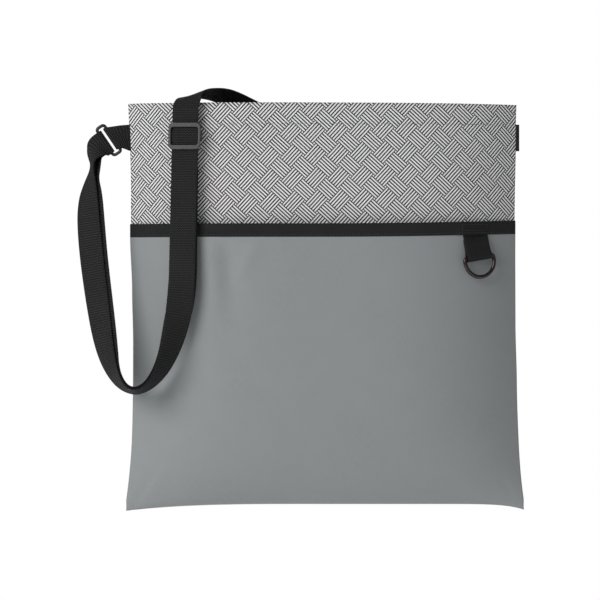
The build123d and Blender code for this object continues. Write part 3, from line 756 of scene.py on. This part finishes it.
def strap_piece(name, stations, body, replaced, from_ring=False, arch=0.25 * MM, first_across=None):
    centre, across, normal = ribbon_frames(name, stations, first_across)
    widths = ring_widths(centre) if from_ring else None
    made = strip(name, centre, across, normal, WEB_WIDTH, WEB_THICK, WEBBING, "webbing", body, widths, arch)
    for node in replaced:
        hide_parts(node)
    return made, centre


run_end = len(LOOP_STATIONS) + len(RUN_STATIONS)
outer_stations = STRAP_STATIONS[:run_end]
over_stations = STRAP_STATIONS[run_end - 1 :]
run_start = len(LOOP_STATIONS)
return_stations = RETURN_LEAD + [return_station(n) for n in range(len(RETURN_LEAD), run_start + 2)]

outer_layer, outer_path = strap_piece(
    "strap_outer_webbing", outer_stations, "strap_loop", ["strap_outer_layer"], True
)
return_layer, return_path = strap_piece(
    "strap_return_webbing", return_stations, "strap_loop", ["strap_return_layer"], True
)
over_layer, over_path = strap_piece(
    "strap_over_webbing", over_stations, None, ["strap_top_bend", "strap_back_run"], first_across=RUN_ACROSS
)
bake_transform(over_layer)


def wrap_path(bar, reach, along, count=17):
    """A half turn of webbing round one bar of the ring, seen along the bar."""
    out = Vector((0, -1, 0))
    turns = np.linspace(0, math.pi, count)
    return [bar + out * reach * math.cos(t) + along * reach * math.sin(t) for t in turns]


points = wrap_path(STRAP_BAR, RING_PLY, RING_ACROSS)
normals = [(p - STRAP_BAR).normalized() for p in points]
ring_fold = strip(
    "strap_ring_fold_webbing", points, [-RING_ALONG] * len(points), normals,
    RING_FOLD_WIDTH, WEB_THICK, WEBBING, "webbing", "strap_loop",
)
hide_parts("strap_ring_fold")

# the return layer's last stretch, up behind the slider
SLIDER_SHARE = 0.828
SLIDER_CENTRE = (Vector(RUN_FOOT) + run * SLIDER_SHARE) * MM
upper_top = SLIDER_CENTRE - RUN_ALONG * 28.2 * MM - RUN_OUT * LAYER_GAP
upper_foot = Vector(return_path[-1])
count = 24
points = [upper_foot.lerp(upper_top, n / (count - 1)) for n in range(count)]
return_upper = strip(
    "strap_return_upper_webbing", points, [RUN_ACROSS] * count, [RUN_OUT] * count,
    WEB_WIDTH, WEB_THICK, WEBBING, "webbing", "strap_loop",
)
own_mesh(return_upper)
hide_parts("strap_return_upper")


def run_point(out, up):
    """A place beside the slider: out from the webbing's middle and up along the run, in millimetres."""
    return SLIDER_CENTRE + RUN_OUT * out * MM + RUN_ALONG * up * MM


BAR_MIDDLE, PLY_OUT = -3.8, 2.0
fold_path = [run_point(-3.7, -28), run_point(-3.7, -20), run_point(-3.75, -12), run_point(-4.4, -8)]
fold_path += [run_point(-5.4, -5), run_point(BAR_MIDDLE - PLY_OUT, -2), run_point(BAR_MIDDLE - PLY_OUT, 2.1)]
for n in range(1, 12):
    t = math.pi * n / 12
    fold_path.append(run_point(BAR_MIDDLE - PLY_OUT * math.cos(t), 2.1 + PLY_OUT * math.sin(t)))
fold_path += [run_point(BAR_MIDDLE + PLY_OUT, 2.1), run_point(BAR_MIDDLE + PLY_OUT, -3), run_point(-2.1, -8)]
fold_path += [run_point(-2.15, -12), run_point(-2.15, -24)]
fold = np.array([tuple(p) for p in fold_path])
tangent = np.gradient(fold, axis=0)
tangent /= np.linalg.norm(tangent, axis=1, keepdims=True)
fold_across = np.tile(np.array(RUN_ACROSS), (len(fold), 1))
end_fold = strip(
    "strap_end_fold_webbing", fold, fold_across, np.cross(fold_across, tangent),
    23.6 * MM, WEB_THICK, WEBBING, "webbing", "slider",
)
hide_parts("strap_end_fold")

# webbing swells forward in the slider's window: a piece of its own that rides with the slider
count = 25
swell_path = []
for n in range(count):
    up = -11.5 + 23 * n / (count - 1)
    out = 0.35 + 1.25 * max(0.0, math.cos(up / 9.6 * math.pi / 2)) ** 0.7 if abs(up) < 9.6 else 0.35
    swell_path.append(run_point(out, up))
swell = np.array([tuple(p) for p in swell_path])
tangent = np.gradient(swell, axis=0)
tangent /= np.linalg.norm(tangent, axis=1, keepdims=True)
swell_across = np.tile(np.array(RUN_ACROSS), (count, 1))
slider_swell = strip(
    "slider_window_webbing", swell, swell_across, np.cross(swell_across, tangent),
    25.8 * MM, 1.0 * MM, WEBBING, "webbing", "slider", arch=0.3 * MM,
)

# ---- left side tab, from the seam round the ring's inner bar and back ----
seam = Vector((-half_width(ANCHOR_Z) + 4 * MM, 0, ANCHOR_Z))


def tab_ply(side, ring_first):
    start = seam + Vector((0, side * 0.36 * MM, 0))
    end = TAB_BAR + Vector((0, side * RING_PLY, 0))
    shares = np.linspace(0, 1, 14)
    rows = []
    for s in shares:
        eased_s = s * s * (3 - 2 * s)
        place = start.lerp(end, s)
        place.y = start.y + (end.y - start.y) * eased_s
        across = Vector((0, 0, 1)).lerp(-RING_ALONG, eased_s).normalized()
        rows.append((place, across, WEB_WIDTH + (RING_FOLD_WIDTH - WEB_WIDTH) * eased_s))
    return rows[::-1] if ring_first else rows


rows = tab_ply(-1, False)
half_turn = wrap_path(TAB_BAR, RING_PLY, -RING_ACROSS)
rows += [(p, -RING_ALONG, RING_FOLD_WIDTH) for p in half_turn[1:-1]]
rows += tab_ply(1, True)
tab_points = np.array([tuple(r[0]) for r in rows])
tab_across = np.array([tuple(r[1]) for r in rows])
tangent = np.gradient(tab_points, axis=0)
tangent /= np.linalg.norm(tangent, axis=1, keepdims=True)
tab_normal = np.cross(tab_across, tangent)
tab_normal /= np.linalg.norm(tab_normal, axis=1, keepdims=True)
side_tab = strip(
    "left_side_tab_webbing", tab_points, tab_across, tab_normal,
    WEB_WIDTH, WEB_THICK * 0.9, WEBBING, "webbing", None, [r[2] for r in rows],
)
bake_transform(side_tab)
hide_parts("left_side_tab")

# the strap's other end, sewn into the right seam
points = [(x, 0.0, ANCHOR_Z) for x in np.linspace(0.1835, 0.170, 8)]
anchor_tail = strip(
    "strap_anchor_tail_webbing", *plain_run(points, (0, 0, 1), (0, 1, 0)),
    WEB_WIDTH, WEB_THICK, WEBBING, "webbing", "bag",
)
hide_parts("strap_anchor_tail")

# ---- D-ring tab: two plies out of the binding and round the ring's straight bar ----
JOINTS = {joint["name"]: joint for joint in frame["joints"]}
TAB_ACROSS = -Vector(JOINTS["d_ring_swing"]["axis"])
D_BAR = Vector(JOINTS["d_ring_swing"]["pos_m"])
TAB_DOWN = (D_BAR - D_TAB_TOP).normalized()
TAB_OUT = TAB_DOWN.cross(TAB_ACROSS).normalized()
D_TAB_WIDTH, D_TAB_THICK, D_PLY, D_REACH = 25.0 * MM, 1.3 * MM, 0.78 * MM, 2.85 * MM
TAB_LENGTH = (D_BAR - D_TAB_TOP).length
TAB_TUCK = 3.8 * MM  # how far the tab's top steps back to pass under the binding


def tab_point(down, out):
    """A place on the tab: down from the binding's foot and out from its middle plane."""
    return D_TAB_TOP + TAB_DOWN * down + TAB_OUT * out


def tab_side(sign):
    """One ply, from under the binding down to the bar."""
    rows = []
    for down in np.linspace(-4 * MM, TAB_LENGTH, 26):
        tuck = min(1.0, max(0.0, (7 * MM - down) / (8 * MM)))
        spread = min(1.0, max(0.0, (down - TAB_LENGTH + 8 * MM) / (8 * MM)))
        spread = spread * spread * (3 - 2 * spread)
        out = sign * (D_PLY + (D_REACH - D_PLY) * spread)
        back_in = TAB_TUCK * tuck * tuck * (3 - 2 * tuck)
        rows.append(tab_point(down, out) + Vector((0, back_in, 0)))
    return rows


tab_line = tab_side(1)
for t in np.linspace(0, math.pi, 15)[1:-1]:
    tab_line.append(D_BAR + TAB_OUT * D_REACH * math.cos(t) + TAB_DOWN * D_REACH * math.sin(t))
tab_line += tab_side(-1)[::-1]
points = np.array([tuple(p) for p in tab_line])
tangent = np.gradient(points, axis=0)
tangent /= np.linalg.norm(tangent, axis=1, keepdims=True)
across = np.tile(np.array(TAB_ACROSS), (len(points), 1))
d_ring_tab = strip(
    "d_ring_tab_tape", points, across, np.cross(tangent, across),
    D_TAB_WIDTH, D_TAB_THICK, TAB_TAPE, "tab_tape", None,
)
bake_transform(d_ring_tab)
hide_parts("d_ring_tab")


# ---- stitching ----
def stitch_mesh(name, seats, length, radius, material, body, nodes):
    """Short rounded stitches; each seat is a place, the thread's direction and the way out of the cloth."""
    points, faces, uvs = [], [], []
    rings, sides = 5, 6
    for place, along, out in seats:
        along, out = Vector(along).normalized(), Vector(out).normalized()
        side = along.cross(out)
        base = len(points)
        for r in range(rings):
            s = -1 + 2 * r / (rings - 1)
            dip = -radius * 0.9 * s * s * s * s
            fat = radius * math.sqrt(max(0.12, 1 - s**6))
            for k in range(sides):
                t = 2 * math.pi * k / sides
                offset = along * s * length / 2 + out * (dip + fat * math.sin(t)) + side * fat * math.cos(t)
                points.append(tuple(Vector(place) + offset))
                uvs.append((k * 0.3 * MM, s * length / 2))
        for r in range(rings - 1):
            for k in range(sides):
                a, b = base + r * sides + k, base + r * sides + (k + 1) % sides
                faces.append((a, b, b + sides, a + sides))
        faces.append([base + k for k in range(sides)])
        faces.append([base + (rings - 1) * sides + k for k in range(sides - 1, -1, -1)])
    made = build_mesh(name, points, faces, uvs, material, body)
    for node in nodes:
        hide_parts(node)
    return made


STITCH_PITCH = 3.0 * MM
STITCH_LENGTH = 2.3 * MM
THREAD_RADIUS = 0.24 * MM
STITCH_LIFT = 0.12 * MM  # keeps a row's threads on top of the binding
chance = random.Random(41)


def surface_seat(point_at, x, level, upright=False):
    """A stitch's seat on a surface given as a function of x and height."""
    here = point_at(x, level)
    right = point_at(x + 0.5 * MM, level) - here
    up = here - point_at(x, level + 0.02)
    out = np.cross(right, up)
    out = out / max(np.linalg.norm(out), 1e-12)
    if out[1] > 0 and here[1] < 0:
        out = -out
    return here, (up if upright else right), out


def binding_point(x, level):
    return binding_frame(np.array(x), level, BINDING_CLOTH + tab_bulge(x) * level + STITCH_LIFT)


seats = []
for n in range(-58, 59):
    x = n * STITCH_PITCH + chance.uniform(-0.1, 0.1) * MM
    seats.append(surface_seat(binding_point, x, 0.84))
binding_stitching = stitch_mesh(
    "binding_stitches", seats, STITCH_LENGTH, THREAD_RADIUS, BLACK_THREAD, "bag",
    ["binding_stitching"],
)

seats = []
for level in (0.22, 0.66):
    for n in range(-4, 5):
        seats.append(surface_seat(binding_point, TAB_SEAT + n * 2.6 * MM, level))
for side in (-1, 1):
    for level in (0.34, 0.52):
        seats.append(surface_seat(binding_point, TAB_SEAT + side * 11.6 * MM, level, True))
d_tab_tack = stitch_mesh(
    "d_tab_tack_stitches", seats, STITCH_LENGTH, THREAD_RADIUS, BLACK_THREAD, "bag",
    ["d_tab_tack"],
)


def panel_face(x, z, side, mid, mouth, folds):
    """A point just outside the front or back panel."""
    share = abs(x / half_width(z))
    depth = (depth_at(z, mid, mouth) + CLOTH) * (1 - share**SIDE_POWER)
    depth = depth + folds(np.array(x), np.array(z)) * (1 - share**8)
    return np.array([x, side * (SEAM_HALF_GAP + depth + 0.1 * MM), z])


def hem_row(name, side, z, mid, mouth, folds, material, node):
    """One row of stitches along a hem."""
    seats = []
    for n in range(-57, 58):
        x = n * STITCH_PITCH
        here = panel_face(x, z, side, mid, mouth, folds)
        right = panel_face(x + 0.5 * MM, z, side, mid, mouth, folds) - here
        up = panel_face(x, z + 0.5 * MM, side, mid, mouth, folds) - here
        out = np.cross(right, up) * (1 if side < 0 else -1)
        seats.append((here, right, out / np.linalg.norm(out)))
    return stitch_mesh(name, seats, STITCH_LENGTH, THREAD_RADIUS * 0.8, material, "bag", [node])


front_hem_z, back_hem_z = 2 * MM - HEM_HEIGHT, 2 * MM - HEM_HEIGHT - BACK_DROP
hem_row(
    "front_hem_stitches", -1, front_hem_z, FRONT_MID, FRONT_MOUTH, front_folds,
    GREY_THREAD, "front_hem_stitching",
)
hem_row(
    "back_hem_stitches", 1, back_hem_z, BACK_MID, BACK_MOUTH, back_folds,
    GREY_THREAD, "back_hem_stitching",
)

seats = []
for n in range(-3, 4):
    for up in (-21, -11):
        seats.append((run_point(-4.55, up) + RUN_ACROSS * n * STITCH_PITCH, RUN_ACROSS, -RUN_OUT))
for n in range(3):
    for side in (-1, 1):
        seats.append((run_point(-4.55, -13.2 - n * 2.9) + RUN_ACROSS * side * 10.6 * MM, RUN_ALONG, -RUN_OUT))
end_stitching = stitch_mesh(
    "end_fold_stitches", seats, STITCH_LENGTH, THREAD_RADIUS, BLACK_THREAD, "slider",
    ["end_fold_stitching"],
)

# ---- hardware: the CAD pieces with their finishes ----
FINISHES = {"d_ring": RING_PLASTIC, "side_ring": BLACK_PLASTIC, "strap_slider": SLIDER_PLASTIC}
for node, material in FINISHES.items():
    NODES[node].data.materials.clear()
    NODES[node].data.materials.append(material)

# ---- stage and light ----
FLOOR_Z = -0.62
FLOOR_RADIUS = 1.9
floor_mesh = bpy.data.meshes.new("floor")
rim = [2 * math.pi * n / 96 for n in range(96)]
floor_mesh.from_pydata(
    [(FLOOR_RADIUS * math.cos(t), FLOOR_RADIUS * math.sin(t), FLOOR_Z) for t in rim], [], [list(range(96))]
)
paint = Graph("pale_floor")
distance = paint.node("ShaderNodeVectorMath", operation="LENGTH")
level = paint.node("ShaderNodeVectorMath", operation="MULTIPLY")
paint.put(level.inputs[0], paint.place)
level.inputs[1].default_value = (1, 1, 0)
paint.put(distance.inputs[0], level.outputs[0])
glow = paint.span(distance.outputs["Value"], 0.3, 1.5, 0.22, 0.75)
floor_mesh.materials.append(
    paint.finish(
        Base_Color=(0.86, 0.86, 0.86, 1), Roughness=0.9, Emission_Color=(1, 1, 1, 1), Emission_Strength=glow
    )
)
floor = bpy.data.objects.new("floor", floor_mesh)
bpy.context.scene.collection.objects.link(floor)

world = bpy.data.worlds.new("studio")
world.use_nodes = True
tree = world.node_tree
backdrop = tree.nodes["Background"]
backdrop.inputs["Color"].default_value = (1, 1, 1, 1)
backdrop.inputs["Strength"].default_value = 1.0
room = tree.nodes.new("ShaderNodeBackground")
room.inputs["Color"].default_value = (0.96, 0.98, 1.0, 1)
room.inputs["Strength"].default_value = 0.26
ray = tree.nodes.new("ShaderNodeLightPath")
pick = tree.nodes.new("ShaderNodeMixShader")
tree.links.new(ray.outputs["Is Camera Ray"], pick.inputs[0])
tree.links.new(room.outputs[0], pick.inputs[1])
tree.links.new(backdrop.outputs[0], pick.inputs[2])
tree.links.new(pick.outputs[0], tree.nodes["World Output"].inputs[0])
bpy.context.scene.world = world


def area_light(name, place, aim, size, power, tint=(1, 1, 1)):
    data = bpy.data.lights.new(name, "AREA")
    data.shape = "RECTANGLE"
    data.size, data.size_y = size
    data.energy = power
    data.color = tint
    made = bpy.data.objects.new(name, data)
    made.location = place
    made.rotation_euler = (Vector(aim) - Vector(place)).to_track_quat("-Z", "Y").to_euler()
    bpy.context.scene.collection.objects.link(made)


area_light("key", (-2.15, -2.4, 1.25), (0, 0, -0.2), (2.2, 2.2), 106)
area_light("fill", (1.2, -3.2, 0.2), (0, 0, -0.2), (2.0, 2.0), 4)
area_light("back", (0.6, 2.6, 1.6), (0, 0, -0.2), (2.0, 1.5), 40)

scene_view = bpy.context.scene.view_settings
scene_view.view_transform = "Standard"
scene_view.look = "None"
